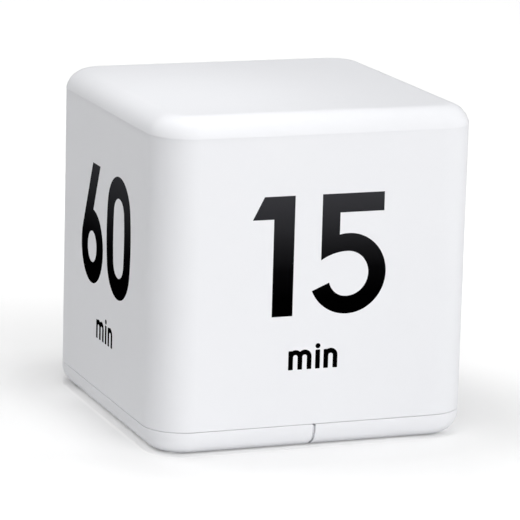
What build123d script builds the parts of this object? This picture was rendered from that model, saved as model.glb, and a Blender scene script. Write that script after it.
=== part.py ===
from build123d import *
import math
import os

# Cube timer: a white cube that starts a countdown when a numbered face is turned up.
# Millimetres, +Z up. The origin is the centre of the footprint, the front (15) faces -Y.

# Outer form
cube = 63.5
body_inset = 0.07
body_half = cube / 2 - body_inset
cap_half = cube / 2
corner_r = 7.8
edge_r = 4.0
cap_line = cube - 3.76
seam_gap = 0.24
seam_low = 4.65
seam_high = seam_low + seam_gap
wall = 2.2
base_wall = 2.0
overlap = 0.5
above = 2 * cube
below = -1.0
split_x = -0.2
split_gap = 0.3
soft_edge = 0.15

# Inside of the shell
shell_inner = body_half - wall
ledge_low = 7.0
ledge_high = 8.2
ledge_reach = 1.2
ledge_inner = shell_inner - ledge_reach
base_inner = body_half - base_wall

# Chassis
slip = 0.15
frame_half = shell_inner - slip
flange_low = 5.6
deck_low = 14.2
deck_high = 16.2
frame_wall_half = ledge_inner - slip
frame_wall = 0.8
bay_half = 26.4
partition_x = (0.9, 2.4)
skirt_low = 2.2
groove_depth = 0.78
rail_z = (3.0, 3.8)
rail_x = (1.5, 21.5)

# Posts and their screws: two in the display half, two in the battery bay
outer_post = (-24.4, 24.4)
bay_post = (14.4, 20.0)
post_r = 3.0
boss_r = 3.4
screw_r = 1.1
screw_clear = 0.05
screw_tip = 26.0
stand_r = 2.2
stand_hole_top = 14.6
head_r = 2.1
head_h = 1.3
counterbore_r = 2.5
counterbore_depth = 3.2

# Cells, two AAA side by side
cell_r = 5.25
cell_len = 44.5
cell_z = 8.45
cell_x = (8.7, 20.1)
nub_r = 1.9
nub_h = 0.9
plate_t = 0.4
plate_z = (4.4, 13.4)
plate_half = 4.2
tag_top = 18.4
bump_h = 1.2
bump_r = 2.4
wire_r = 0.3
lead_r = 0.6
lead_z = 17.3

# Display
lcd_x = -13.4
lcd_y = 1.0
lcd_z = 3.1
glass_t = 1.1
glass_w = 16.0
rear_glass_w = 12.8
glass_len = 30.0
view_w = 12.6
view_len = 26.0
lens_t = 1.1
lens_low = 0.1
lens_rim = 1.15
film_t = 0.2

# Board
board_z = 8.7
board_t = 1.0
board_x = (-26.1, 0.6)
board_half = 26.1
board_top = board_z + board_t
ear_x = (-24.3, -2.5)
ear_dy = 11.0
board_screw_r = 0.8
ear_r = 1.85
ear_t = 1.2

# Buzzer and switch
buzzer_y = -20.8
buzzer_r = 4.8
buzzer_low = 3.4
buzzer_wall = 0.6
ring_r = 3.8
hole_r = 0.7
hole_circle = 2.6
switch_x = -11.9
switch_y = 21.5
switch_step = 2.0
switch_size = (12.0, 4.6)
switch_z = (4.9, 7.7)
stem_size = (2.0, 1.6)
stem_low = 3.4
knob_w = 4.0
knob_d = 3.4
knob_z = (0.35, 2.4)

# Tilt switches: four cans that rise outwards, with a ball at the low end
tilt_x = lcd_x
tilt_y = lcd_y
tilt_rise = 15.0
can_start = 3.1
can_len = 8.4
can_r = 2.3
can_wall = 0.45
ball_r = 1.6
plug_len = 1.5
pin_reach = 0.7
pin_out = 1.0
pin_r = 0.25
pin_dy = 0.9

# Printed figures
film = 0.05
base_line = 25.72
figure_h = 22.75
stem_w = 4.1
unit_line = 15.38
unit_line_side = 14.72
unit_h = 3.65
unit_stem = 0.95


def slab(half, r, z0, z1):
    """Rounded square plate from z0 to z1, centred on the cube's axis."""
    return Pos(0, 0, z0) * extrude(RectangleRounded(2 * half, 2 * half, r), z1 - z0)


def block(x, y, z):
    """Box between the given low and high values."""
    size = Box(x[1] - x[0], y[1] - y[0], z[1] - z[0], align=(Align.MIN,) * 3)
    return Pos(x[0], y[0], z[0]) * size


def rod(x, y, z0, z1, r):
    """Upright cylinder."""
    return Pos(x, y, z0) * Cylinder(r, z1 - z0, align=(Align.CENTER, Align.CENTER, Align.MIN))


def lying_rod(x, y0, y1, z, r):
    """Cylinder along Y."""
    return Pos(x, (y0 + y1) / 2, z) * Rot(90, 0, 0) * Cylinder(r, y1 - y0)


def polar(cx, cy, r, angle):
    """Point at an angle in degrees round a centre."""
    return (cx + r * math.cos(math.radians(angle)), cy + r * math.sin(math.radians(angle)))


def edges_at(part, z):
    """Edges that lie in the plane at height z."""
    tol = 0.01
    boxes = [(e, e.bounding_box()) for e in part.edges()]
    return [e for e, box in boxes if abs(box.min.Z - z) < tol and abs(box.max.Z - z) < tol]


def all_posts():
    """Centres of the four posts."""
    return [(outer_post[0], outer_post[1]), (outer_post[0], -outer_post[1]),
            (bay_post[0], bay_post[1]), (bay_post[0], -bay_post[1])]


# Casing


def top_cover():
    """Cap with the rounded edge, a locating rib and the four long posts."""
    blank_low = cube - edge_r - 1.0
    rib_clear = 0.1
    rib_t = 1.2
    rib_drop = 2.0
    ceiling = cube - wall
    cap = slab(cap_half, corner_r + body_inset, blank_low, cube)
    cap = fillet(edges_at(cap, cube), edge_r)
    cap -= slab(cube, corner_r, 0, cap_line)
    cap -= slab(shell_inner, corner_r - wall, 0, ceiling)
    rib_half = shell_inner - rib_clear
    rib_r = corner_r - wall - rib_clear
    rib = slab(rib_half, rib_r, cap_line - rib_drop, ceiling)
    cap += rib - slab(rib_half - rib_t, rib_r - rib_t, 0, above)
    for x, y in all_posts():
        cap += rod(x, y, deck_high, ceiling, post_r)
    for x, y in all_posts():
        cap -= rod(x, y, 0, screw_tip + 1, screw_r + screw_clear)
    return cap


def side_shell(ink):
    """Four walls in one moulding, with the chassis ledge and a shallow recess for each ink film."""
    shell = slab(body_half, corner_r, seam_high, cap_line)
    shell = fillet(edges_at(shell, seam_high) + edges_at(shell, cap_line), soft_edge)
    shell -= slab(shell_inner, corner_r - wall, 0, above)
    ledge = slab(shell_inner + overlap, corner_r - wall, ledge_low, ledge_high)
    ledge -= slab(ledge_inner, corner_r - wall - ledge_reach, 0, above)
    shell += ledge
    for figures in ink.values():
        shell -= figures
    return shell


def base_cap():
    """Whole base band, before it is parted into the cover and the door."""
    band = slab(body_half, corner_r, 0, seam_low)
    band = fillet(edges_at(band, 0), edge_r)
    band = fillet(edges_at(band, seam_low), soft_edge)
    return band - slab(base_inner, corner_r - base_wall, base_wall, above)


def switch_slot():
    """Opening for the knob and the shallow pocket round it."""
    clear = 0.2
    pocket_border = 2.0
    pocket_width = 6.4
    pocket_depth = 0.9
    reach = knob_w / 2 + switch_step + clear
    half = knob_d / 2 + clear
    slot = block((switch_x - reach, switch_x + reach), (switch_y - half, switch_y + half), (below, 3))
    outline = RectangleRounded(2 * (reach + pocket_border), pocket_width, 1.2)
    return slot + Pos(switch_x, switch_y, below) * extrude(outline, pocket_depth - below)


def sound_holes():
    """Six holes round a seventh, under the buzzer."""
    deep = base_wall + 1
    holes = rod(lcd_x, buzzer_y, below, deep, hole_r)
    for k in range(6):
        x, y = polar(lcd_x, buzzer_y, hole_circle, 60 * k)
        holes += rod(x, y, below, deep, hole_r)
    return holes


def display_cover():
    """Fixed half of the base, with the window, the switch slot and the sound holes."""
    edge = split_x - split_gap / 2
    split_edge_r = 0.45
    inside = base_wall - overlap
    cover = base_cap() & block((-cube, edge), (-cube, cube), (below, above))
    rim = [e for e in cover.edges() if e.bounding_box().min.X > edge - 0.01 and e.center().Z < seam_low - 0.3]
    outer = [e for e in rim if e.center().Z < base_wall / 2 or abs(e.center().Y) > base_inner + overlap]
    cover = fillet(outer, split_edge_r)
    cover += cover_lip(inside)
    for s in (1, -1):
        cover += rod(outer_post[0], s * outer_post[1], inside, flange_low, boss_r)
        cover += knob_guide(s, inside)
    cover += rod(lcd_x, buzzer_y, inside, buzzer_low - 0.1, ring_r + frame_wall)
    cover -= rod(lcd_x, buzzer_y, base_wall, buzzer_low, ring_r)
    for s in (1, -1):
        cover -= rod(outer_post[0], s * outer_post[1], below, counterbore_depth, counterbore_r)
        cover -= rod(outer_post[0], s * outer_post[1], below, flange_low + 1, screw_r + slip)
    recess = RectangleRounded(view_w + 2 * lens_rim + 2 * slip, view_len + 2 * lens_rim + 2 * slip, 1.5)
    cover -= Pos(lcd_x, lcd_y, below) * extrude(recess, lens_low + lens_t - below)
    cover -= Pos(lcd_x, lcd_y, below) * extrude(RectangleRounded(view_w, view_len, 1.0), base_wall + 2)
    return cover - switch_slot() - sound_holes()


def cover_lip(inside):
    """Lip that stands up from the cover's rim and locates it in the side shell."""
    lip_t = 1.2
    end = split_x - 0.8
    lip_r = corner_r - wall - slip
    lip = slab(base_inner + overlap, corner_r - base_wall, inside, seam_low - 0.3)
    lip += slab(frame_half, lip_r, base_wall, flange_low - slip)
    lip -= slab(frame_half - lip_t, lip_r - lip_t, 0, above)
    return lip & block((-cube, end), (-cube, cube), (below, above))


def knob_guide(s, inside):
    """Low wall beside the knob's inner plate. s is the side, 1 or -1."""
    y = switch_y + s * 3.3
    return block((switch_x - 8.0, switch_x + 8.0), (y - 0.4, y + 0.4), (inside, 3.0))


def door_grip():
    """Arrow and grooves that are moulded into the door for the thumb."""
    deep = 0.4 - below
    arrow_x = 9.0
    groove_x = 15.0
    pitch = 1.9
    arrow = Polygon((-1.8, -3.2), (2.6, 0), (-1.8, 3.2), align=None)
    cuts = Pos(arrow_x, 0, below) * extrude(arrow, deep)
    for k in range(6):
        cuts += Pos(groove_x + pitch * k, 0, below) * extrude(SlotOverall(15.0, 0.9, rotation=90), deep)
    return cuts


def battery_door():
    """Sliding half of the base. Its rails run in the chassis skirts."""
    edge = split_x + split_gap / 2
    inside = base_wall - overlap
    rail_reach = 0.93
    door = base_cap() & block((edge, cube), (-cube, cube), (below, above))
    for s in (1, -1):
        door += block(rail_x, sorted((s * (base_inner + overlap), s * (base_inner - rail_reach))), rail_z)
    for k in (-1, 0, 1):
        y = 14.0 * k
        door += block((3.2, 26.0), (y - 0.6, y + 0.6), (inside, 3.0))
    tab_end = 4.2
    tab_top = 3.1
    tab = block((edge, tab_end), (-5.0, 5.0), (inside, tab_top))
    tab += block((split_x - 1.8, tab_end), (-5.0, 5.0), (base_wall + 0.1, tab_top))
    return door + tab - door_grip()


# Chassis


def base_frame():
    """Inner chassis: flange, ring wall, battery bay, door rails and bosses."""
    frame = slab(frame_half, corner_r - wall - slip, flange_low, ledge_low)
    frame += slab(frame_wall_half, corner_r - wall - ledge_reach - slip, flange_low, deck_high)
    frame -= slab(bay_half, 1.5, 0, above)
    wide = (-bay_half - frame_wall, bay_half + frame_wall)
    frame += block((partition_x[0], frame_wall_half - frame_wall), wide, (deck_low, deck_high))
    frame += block(partition_x, wide, (2.4, deck_high))
    tab_room = 6.0
    frame -= block((partition_x[0] - 1, partition_x[1] + 1), (-tab_room, tab_room), (0, 3.4))
    for s in (1, -1):
        frame += skirt(s)
        frame += rod(outer_post[0], s * outer_post[1], flange_low, deck_high, boss_r)
    frame += block((27.9, frame_half), (-21.0, 21.0), (4.2, flange_low + 0.6))
    for x, y in ears():
        frame += board_stand(x, y)
    for x, y in ears():
        frame -= rod(x, y, board_top - 1, stand_hole_top, board_screw_r + screw_clear)
    for s in (1, -1):
        frame -= rod(outer_post[0], s * outer_post[1], 0, above, screw_r + slip)
        frame -= rod(bay_post[0], s * bay_post[1], deck_low - 1, above, screw_r + slip)
    for x in cell_x:
        notch_y = (-bay_half - 0.1, -bay_half + 0.7)
        frame -= block((x - 1.8, x + 1.8), notch_y, (deck_low - 1, deck_high + 1))
    return frame


def ears():
    """Centres of the four screws that hold the display frame and the board."""
    return [(x, lcd_y + s * ear_dy) for x in ear_x for s in (1, -1)]


def board_stand(x, y):
    """Stand for one board screw, with the web that ties it to the nearest wall."""
    stand = rod(x, y, board_top, deck_high, stand_r)
    web_end = partition_x[0] + 0.3 if x > lcd_x else -bay_half - 0.6
    return stand + block(sorted((x, web_end)), (y - 1.2, y + 1.2), (board_top, deck_high))


def skirt(s):
    """Bar with the groove that one of the door's rails slides in. s is the side, 1 or -1."""
    y = sorted((s * bay_half, s * frame_half))
    bar = block((partition_x[0], rail_x[1] + 1.5), y, (skirt_low, flange_low + 0.4))
    groove_y = sorted((s * (frame_half - groove_depth), s * (frame_half + 1)))
    return bar - block((0, cap_half), groove_y, (rail_z[0] - slip, rail_z[1] + slip))


# Cells and contacts


def cell(x, s):
    """AAA cell along Y. s is the side that its positive nub points to."""
    inner = bay_half - plate_t
    nub_end = s * (inner - bump_h)
    foot = nub_end - s * cell_len
    shoulder = nub_end - s * nub_h
    can = lying_rod(x, min(foot, shoulder), max(foot, shoulder), cell_z, cell_r)
    rims = [e for e in can.edges() if e.geom_type == GeomType.CIRCLE]
    can = fillet(rims, 0.5)
    nub = lying_rod(x, min(nub_end, shoulder - s), max(nub_end, shoulder - s), cell_z, nub_r)
    return can + nub


def plate(x0, x1, s):
    """Nickelled contact plate that stands against the bay's end wall."""
    y = sorted((s * bay_half, s * (bay_half - plate_t)))
    return block((x0, x1), y, plate_z)


def solder_tag(x):
    """Tag that reaches up through the deck to take a lead."""
    return block((x - 1.5, x + 1.5), (-bay_half, -bay_half + plate_t), (plate_z[1] - 0.4, tag_top))


def bump(x, s):
    """Pressed dome that the cell's nub touches."""
    face = s * (bay_half - plate_t)
    far = face - s * bump_h
    return lying_rod(x, min(face, far), max(face, far), cell_z, bump_r)


def negative_plate():
    """Front contact of the inner cell, which carries the front spring."""
    x = cell_x[0]
    return plate(x - plate_half, x + plate_half, -1) + solder_tag(x)


def positive_plate():
    """Front contact of the outer cell."""
    x = cell_x[1]
    return plate(x - plate_half, x + plate_half, -1) + solder_tag(x) + bump(x, -1)


def link_plate():
    """Back contact that joins the two cells."""
    return plate(cell_x[0] - plate_half, cell_x[1] + plate_half, 1) + bump(cell_x[0], 1)


def unit(v):
    """Vector of length one."""
    return v / v.length


def biarc(p0, t0, p1, t1):
    """Two tangent arcs from p0 to p1 with the given end tangents."""
    v = p1 - p0
    t = t0 + t1
    k = 2 * (1 - t0.dot(t1))
    if k < 1e-6:
        d = v.dot(v) / (4 * v.dot(t1))
    else:
        d = (math.sqrt(v.dot(t) ** 2 + k * v.dot(v)) - v.dot(t)) / k
    middle = (p0 + p1 + (t0 - t1) * d) * 0.5
    first = Edge.make_tangent_arc(p0, t0, middle)
    return [first, Edge.make_tangent_arc(middle, first % 1, p1)]


def spring(x, s):
    """Conical coil from the end plate to the cell's foot. s is the side of the plate."""
    face = bay_half - plate_t
    foot = face - (2 * (bay_half - plate_t) - cell_len - bump_h)
    turns = 4.5
    wide = 3.7
    narrow = 2.1
    lead_in = 2 * wire_r
    start = face - lead_in - 0.7
    end = foot + wire_r + 0.03

    def place(a, depth, r):
        return Vector(x + r * math.cos(a), s * depth, cell_z + r * math.sin(a))

    def on_coil(f):
        return place(2 * math.pi * turns * f, start + (end - start) * f, wide + (narrow - wide) * f)

    def along(f):
        h = 1e-4
        return unit(on_coil(f + h) - on_coil(f - h))

    steps = int(turns * 4)
    foot_in = place(-math.pi / 4, face, wide)
    foot_out = place(-math.pi / 4, face - lead_in, wide)
    inward = Vector(0, -s, 0)
    edges = [Edge.make_line(foot_in, foot_out)]
    edges += biarc(foot_out, inward, on_coil(0), along(0))
    for k in range(steps):
        a, b = k / steps, (k + 1) / steps
        edges += biarc(on_coil(a), along(a), on_coil(b), along(b))
    tail = along(1)
    edges.append(Edge.make_line(on_coil(1), on_coil(1) + tail * lead_in))
    path = Wire(edges)
    gap = coil_gap(on_coil, turns)
    print(f"spring at x {x}: least gap between turns {gap:.2f} mm, length {path.length:.1f} mm")
    section = Plane(origin=foot_in, z_dir=inward) * Circle(wire_r)
    coil = sweep(section, path=path)
    print(f"spring volume {coil.volume:.2f}, section times length {math.pi * wire_r ** 2 * path.length:.2f}")
    return coil


def coil_gap(on_coil, turns):
    """Least gap between points of the coil that are over half a turn apart."""
    n = 240
    points = [on_coil(k / n) for k in range(n + 1)]
    apart = int(n / turns * 0.5)
    least = min((points[i] - points[j]).length for i in range(n + 1) for j in range(i + apart, n + 1))
    return least - 2 * wire_r


def lead(x, run_y, drop_x):
    """Insulated lead from a solder tag, over the bay and down to the board."""
    start = (x, -bay_half + plate_t, lead_z)
    points = [start, (x, run_y, lead_z), (drop_x, run_y, lead_z), (drop_x, run_y, board_top)]
    first = 0.45 * min(run_y - start[1], x - drop_x)
    second = 0.45 * min(x - drop_x, lead_z - board_top)
    print(f"lead at x {x}: bend radii {first:.1f} and {second:.1f} mm")
    path = FilletPolyline(*points, radius=[first, second])
    section = Plane(origin=start, z_dir=(0, 1, 0)) * Circle(lead_r)
    return sweep(section, path=path)


# Display


def display_lens():
    """Clear window that sits just below the outer face of the base."""
    outline = RectangleRounded(view_w + 2 * lens_rim, view_len + 2 * lens_rim, 1.35)
    return Pos(lcd_x, lcd_y, lens_low) * extrude(outline, lens_t)


def lcd_layer(w, length, z, t):
    """One flat layer of the display."""
    return block((lcd_x - w / 2, lcd_x + w / 2), (lcd_y - length / 2, lcd_y + length / 2), (z, z + t))


def zebra_strips():
    """Two elastomer strips from the glass ledges to the board."""
    half = 0.6
    reach = glass_len / 2 - 0.5
    strips = []
    for s in (1, -1):
        x = lcd_x + s * (glass_w / 2 - half - slip)
        strips.append(block((x - half, x + half), (lcd_y - reach, lcd_y + reach), (lcd_z + glass_t, board_z)))
    return Compound(children=strips)


def lcd_frame():
    """Open tub that holds the glass and clamps the strips against the board."""
    room_w = glass_w + 0.2
    room_len = glass_len + 0.2
    low = lcd_z - 0.9
    tub_wall = 1.2
    tub = lcd_layer(room_w + 2 * tub_wall, room_len + 2 * tub_wall, low, board_z - low)
    for x, y in ears():
        tub += rod(x, y, board_z - ear_t, board_z, ear_r)
        tub += block(sorted((x, lcd_x)), (y - ear_r, y + ear_r), (board_z - ear_t, board_z))
    tub -= lcd_layer(room_w, room_len, lcd_z, above)
    tub -= lcd_layer(view_w + 0.8, view_len + 0.8, 0, above)
    for x, y in ears():
        tub -= rod(x, y, 0, above, board_screw_r + 0.1)
    return tub


# Board


def main_board():
    """Circuit board with notches for the corner bosses and holes for its screws."""
    board = block(board_x, (-board_half, board_half), (board_z, board_top))
    notch = outer_post[0] + boss_r + 0.4
    for s in (1, -1):
        board -= block((-cap_half, notch), sorted((-s * notch, s * cap_half)), (board_z - 1, board_top + 1))
    for x, y in ears():
        board -= rod(x, y, board_z - 1, board_top + 1, board_screw_r + 0.1)
    return board


def controller_blob():
    """Resin dome over the controller chip."""
    sphere_r = 7.5
    dome_h = 1.5
    dome = Pos(-12.5, -19.6, board_top + dome_h - sphere_r) * Sphere(sphere_r)
    return dome & slab(cube, corner_r, board_top, above)


def crystal():
    """Small metal can of the clock crystal, lying on the board."""
    x, y = -4.2, -22.5
    can_radius = 1.0
    can_length = 5.0
    wire = 0.3
    foot = x - can_length / 2 - 1.6
    high = board_top + can_radius + wire / 2
    can = Pos(x, y, board_top + can_radius) * Rot(0, 90, 0) * Cylinder(can_radius, can_length)
    for s in (1, -1):
        across = (y + s * 0.45 - wire / 2, y + s * 0.45 + wire / 2)
        can += block((foot, x - can_length / 2), across, (high - wire, high))
        can += block((foot, foot + wire), across, (board_top, high))
    return can


def chip_parts():
    """Small resistors and capacitors in two rows."""
    first = (-16.0, 19.0)
    pitch = (2.6, 3.0)
    size = (1.6, 0.8)
    heights = (0.5, 0.65)
    parts = []
    for row, height in enumerate(heights):
        for k in range(4):
            x = first[0] + pitch[0] * k
            y = first[1] + pitch[1] * row
            parts.append(block((x, x + size[0]), (y, y + size[1]), (board_top, board_top + height)))
    return Compound(children=parts)


def board_screws():
    """Four small screws through the display frame and the board."""
    low = board_z - ear_t
    small_head_r = 1.5
    small_head_h = 0.9
    screws = []
    for x, y in ears():
        screw = rod(x, y, low - small_head_h, low, small_head_r)
        screw += rod(x, y, low - 0.1, stand_hole_top - 0.6, board_screw_r)
        slot = block((x - 0.9, x + 0.9), (y - 0.2, y + 0.2), (low - 1.5, low - small_head_h / 2))
        screws.append(screw - slot)
    return Compound(children=screws)


def cross_screw(x, y, z, tip):
    """Pan-head screw driven from below. z is the underside of the part that the head bears on."""
    head = rod(x, y, z - head_h, z, head_r)
    screw = fillet(edges_at(head, z - head_h), 0.5) + rod(x, y, z - 0.1, tip, screw_r)
    for turn in (0, 90):
        screw -= Pos(x, y, z - head_h) * Rot(0, 0, turn) * Box(2.4, 0.5, 1.2)
    return screw


def case_screws():
    """Two long screws from the display side into the corner posts."""
    x, y = outer_post
    return Compound(children=[cross_screw(x, s * y, counterbore_depth, screw_tip) for s in (1, -1)])


def bay_screws():
    """Two screws inside the battery bay into the middle posts."""
    x, y = bay_post
    return Compound(children=[cross_screw(x, s * y, deck_low, screw_tip - 2) for s in (1, -1)])


# Buzzer and switch


def buzzer_case():
    """Round buzzer under the board, open towards the sound holes."""
    case = rod(lcd_x, buzzer_y, buzzer_low, board_z, buzzer_r)
    case = fillet(edges_at(case, buzzer_low), 0.4)
    case -= rod(lcd_x, buzzer_y, buzzer_low + 0.8, buzzer_low + 3.2, buzzer_r - buzzer_wall)
    return case - rod(lcd_x, buzzer_y, buzzer_low - 1, buzzer_low + 1, 1.1)


def buzzer_diaphragm():
    """Thin steel disc that the buzzer's magnet drives."""
    low = buzzer_low + 1.6
    return rod(lcd_x, buzzer_y, low, low + 0.15, buzzer_r - buzzer_wall)


def switch_can():
    """Steel can of the slide switch, open towards the board."""
    sheet = 0.4
    low, high = switch_z
    can = switch_block(switch_size[0], switch_size[1], (low, high))
    can -= switch_block(switch_size[0] - 2 * sheet, switch_size[1] - 2 * sheet, (low + sheet, high + 1))
    slot_w = stem_size[0] + 2 * switch_step + 2 * slip
    return can - switch_block(slot_w, stem_size[1] + 2 * slip, (low - 1, low + 1))


def switch_block(w, d, z, x=switch_x):
    """Box centred on the slide switch, or on another x, w along X and d along Y."""
    return block((x - w / 2, x + w / 2), (switch_y - d / 2, switch_y + d / 2), z)


def switch_base():
    """Insulating plate that closes the can and sits on the board."""
    return switch_block(switch_size[0], switch_size[1], (switch_z[1], board_z))


def switch_actuator():
    """Slider inside the can, whose stem reaches into the knob."""
    x = switch_x - switch_step
    shoe_low = switch_z[0] + 0.55
    shoe = switch_block(3.6, 3.4, (shoe_low, switch_z[1] - 0.2), x)
    return shoe + switch_block(stem_size[0], stem_size[1], (stem_low, shoe_low + 0.5), x)


def switch_knob():
    """Ribbed knob in the base, with the inner plate that keeps it in its slot."""
    x = switch_x - switch_step
    low, high = knob_z
    plate_low = base_wall + 0.1
    socket_top = 4.4
    knob = switch_block(knob_w, knob_d, knob_z, x)
    knob = fillet(edges_at(knob, low), 0.25)
    knob += switch_block(12.8, 5.2, (plate_low, plate_low + 0.8), x)
    knob += switch_block(3.8, 3.2, (high, socket_top), x)
    knob -= switch_block(stem_size[0], stem_size[1], (stem_low, socket_top + 1), x)
    for k in (-1, 0, 1):
        knob -= switch_block(0.5, 2 * knob_d, (0, 2 * low), x + 1.1 * k)
    return knob


# Tilt switches


def tilt_place(turn):
    """Where a tilt switch stands: local +X runs outwards and up along the can. turn is about Z."""
    rise = math.radians(tilt_rise)
    stand_off = 0.3
    z = board_top + stand_off + can_r * math.cos(rise)
    return Pos(tilt_x, tilt_y, z) * Rot(0, 0, turn) * Pos(can_start, 0, 0) * Rot(0, -tilt_rise, 0)


def axial_rod(x0, x1, r):
    """Cylinder along local X."""
    return Pos((x0 + x1) / 2, 0, 0) * Rot(0, 90, 0) * Cylinder(r, x1 - x0)


def tilt_can(turn):
    """Plated can with a closed low end."""
    can = axial_rod(0, can_len, can_r) - axial_rod(can_wall, can_len + 1, can_r - can_wall)
    return tilt_place(turn) * can


def tilt_plug(turn):
    """Insulating plug with the two pins that the ball bridges."""
    plug = axial_rod(can_len - plug_len, can_len, can_r - can_wall)
    pin_start = can_len - plug_len - pin_reach
    pins = []
    for s in (1, -1):
        pin = Pos(0, s * pin_dy, 0) * axial_rod(pin_start, can_len + pin_out + 0.2, pin_r)
        pins.append(tilt_place(turn) * pin)
    placed = tilt_place(turn) * plug
    for s in (1, -1):
        top = (tilt_place(turn) * Pos(can_len + pin_out, s * pin_dy, 0)).position
        pins.append(rod(top.X, top.Y, board_top, top.Z, pin_r))
    for pin in pins:
        placed += pin
    return placed


def tilt_ball(turn):
    """Steel ball at the can's low end, which rolls to the pins when the can is turned up."""
    under = 0.05
    behind = 0.08
    drop = can_r - can_wall - ball_r - under
    return tilt_place(turn) * Pos(can_wall + ball_r + behind, 0, -drop) * Sphere(ball_r)


# Printed figures, drawn on a plane whose x runs to the viewer's right and y up


def oval_outline(a, b, r_end):
    """Closed outline of four tangent arcs, 2a wide and 2b high, with ends of radius r_end."""
    r_side = (a * a + (b - r_end) ** 2 - r_end ** 2) / (2 * (a - r_end))
    top = Vector(0, b - r_end)
    lean = unit(top - Vector(a - r_side, 0))
    join = top + lean * r_end
    x, y = join.X, join.Y
    arcs = ThreePointArc((x, -y), (a, 0), (x, y)) + ThreePointArc((x, y), (0, b), (-x, y))
    arcs += ThreePointArc((-x, y), (-a, 0), (-x, -y)) + ThreePointArc((-x, -y), (0, -b), (x, -y))
    return arcs


def oval(a, b, r_end):
    """Filled oval of four arcs."""
    return make_face(oval_outline(a, b, r_end))


def sector(cx, cy, r, a0, a1):
    """Wedge of a disc between two angles, used to open a ring."""
    points = [polar(cx, cy, r, a) for a in (a0, (a0 + a1) / 2, a1)]
    lines = Line((cx, cy), points[0]) + ThreePointArc(*points) + Line(points[2], (cx, cy))
    return make_face(lines)


def figure_0():
    """Nought, drawn from its left side."""
    a = 7.15
    b = 11.8
    ring = oval(a, b, 6.75) - Pos(0.05, 0) * oval(a - 3.95, b - 4.15, 2.95)
    return Pos(a, b - 0.75) * ring


def figure_1():
    """One: a stem with a flag."""
    flag = figure_h - 4.3
    right = 8.3
    return Polygon((0, flag), (right - stem_w, flag), (right - stem_w, 0), (right, 0), (right, figure_h),
                   (2.25, figure_h), align=None)


def figure_2():
    """Two: a bow, a straight diagonal and a foot bar."""
    cx, cy, r_out, r_in = 6.8, 15.75, 7.0, 3.5
    foot = 3.4
    turn = -38
    lean = (math.sin(math.radians(turn)), -math.cos(math.radians(turn)))
    out_end = polar(cx, cy, r_out, turn)
    in_end = polar(cx, cy, r_in, turn)
    reach = (out_end[1] - foot) / -lean[1]
    drop = in_end[0] / -lean[0]
    left_y = in_end[1] + lean[1] * drop
    tip_out = polar(cx, cy, r_out, 172)
    tip_in = polar(cx, cy, r_in, 172)
    step = (out_end[0] + lean[0] * reach, foot)
    lines = Polyline((0, left_y), (0, 0), (13.7, 0), (13.7, foot), step, out_end)
    lines += ThreePointArc(out_end, polar(cx, cy, r_out, 67), tip_out)
    lines += Line(tip_out, tip_in)
    lines += ThreePointArc(tip_in, polar(cx, cy, r_in, 67), in_end)
    lines += Line(in_end, (0, left_y))
    return make_face(lines)


def figure_3():
    """Three: two open rings that share the waist."""
    upper = (6.6, 16.55, 6.15, 2.75)
    lower = (6.6, 7.15, 7.2, 3.75)
    top = Pos(upper[0], upper[1]) * (Circle(upper[2]) - Circle(upper[3]))
    low = Pos(lower[0], lower[1]) * (Circle(lower[2]) - Circle(lower[3]))
    top -= sector(upper[0], upper[1], 9, 168, 282)
    low -= sector(lower[0], lower[1], 11, 78, 195)
    waist = (10.55, 13.75)
    bar = Pos(6.3, (waist[0] + waist[1]) / 2) * Rectangle(4.6, waist[1] - waist[0])
    return top + low + bar


def figure_5():
    """Five: bar, stem and a round bowl with a slanted cut."""
    bar = 3.6
    right = 12.35
    stem = 3.6
    cx, cy, r_out = 5.38, 7.53, 7.66
    ix, r_in = 5.25, 4.27
    neck = 10.25
    cut = 203
    junction = (stem, cy + math.sqrt(r_out ** 2 - (stem - cx) ** 2))
    tip_out = polar(cx, cy, r_out, cut)
    tip_in = (1.75, 5.98)
    low_in = polar(ix, cy, r_in, 255)
    crown = (ix, cy + r_in)
    fall = crown[1] - neck
    neck_r = (ix ** 2 + fall ** 2) / (2 * fall)
    half_way = ix / 2
    neck_mid = (half_way, crown[1] - neck_r + math.sqrt(neck_r ** 2 - (ix - half_way) ** 2))
    under = figure_h - bar
    lines = Polyline((0, neck), (0, figure_h), (right, figure_h), (right, under), (stem, under), junction)
    lines += ThreePointArc(junction, polar(cx, cy, r_out, -28), tip_out)
    lines += Line(tip_out, tip_in)
    lines += ThreePointArc(tip_in, (2.42, 4.62), low_in)
    lines += ThreePointArc(low_in, polar(ix, cy, r_in, -10), crown)
    lines += ThreePointArc(crown, neck_mid, (0, neck))
    return make_face(lines)


def figure_6():
    """Six: an oval bowl with a straight slanted stem."""
    a, b = 6.6, 7.25
    top = figure_h - 0.1
    stem_left = 6.4
    stem_right = 10.95
    notch = (7.0, 2 * b - 0.95)
    cx, cy = a, b - 0.95
    rise = (top - cy) / b
    run = (stem_left - cx) / a
    reach = math.hypot(rise, run)
    angle = math.atan2(rise, run) + math.acos(1 / reach)
    touch = (cx + a * math.cos(angle), cy + b * math.sin(angle))
    stem = Polygon((stem_left, top), touch, (cx, cy), notch, (stem_right, top), align=None)
    bowl = Pos(cx, cy) * Ellipse(a, b)
    return bowl + stem - Pos(cx - 0.05, cy - 0.1) * Ellipse(2.65, 3.05)


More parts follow.
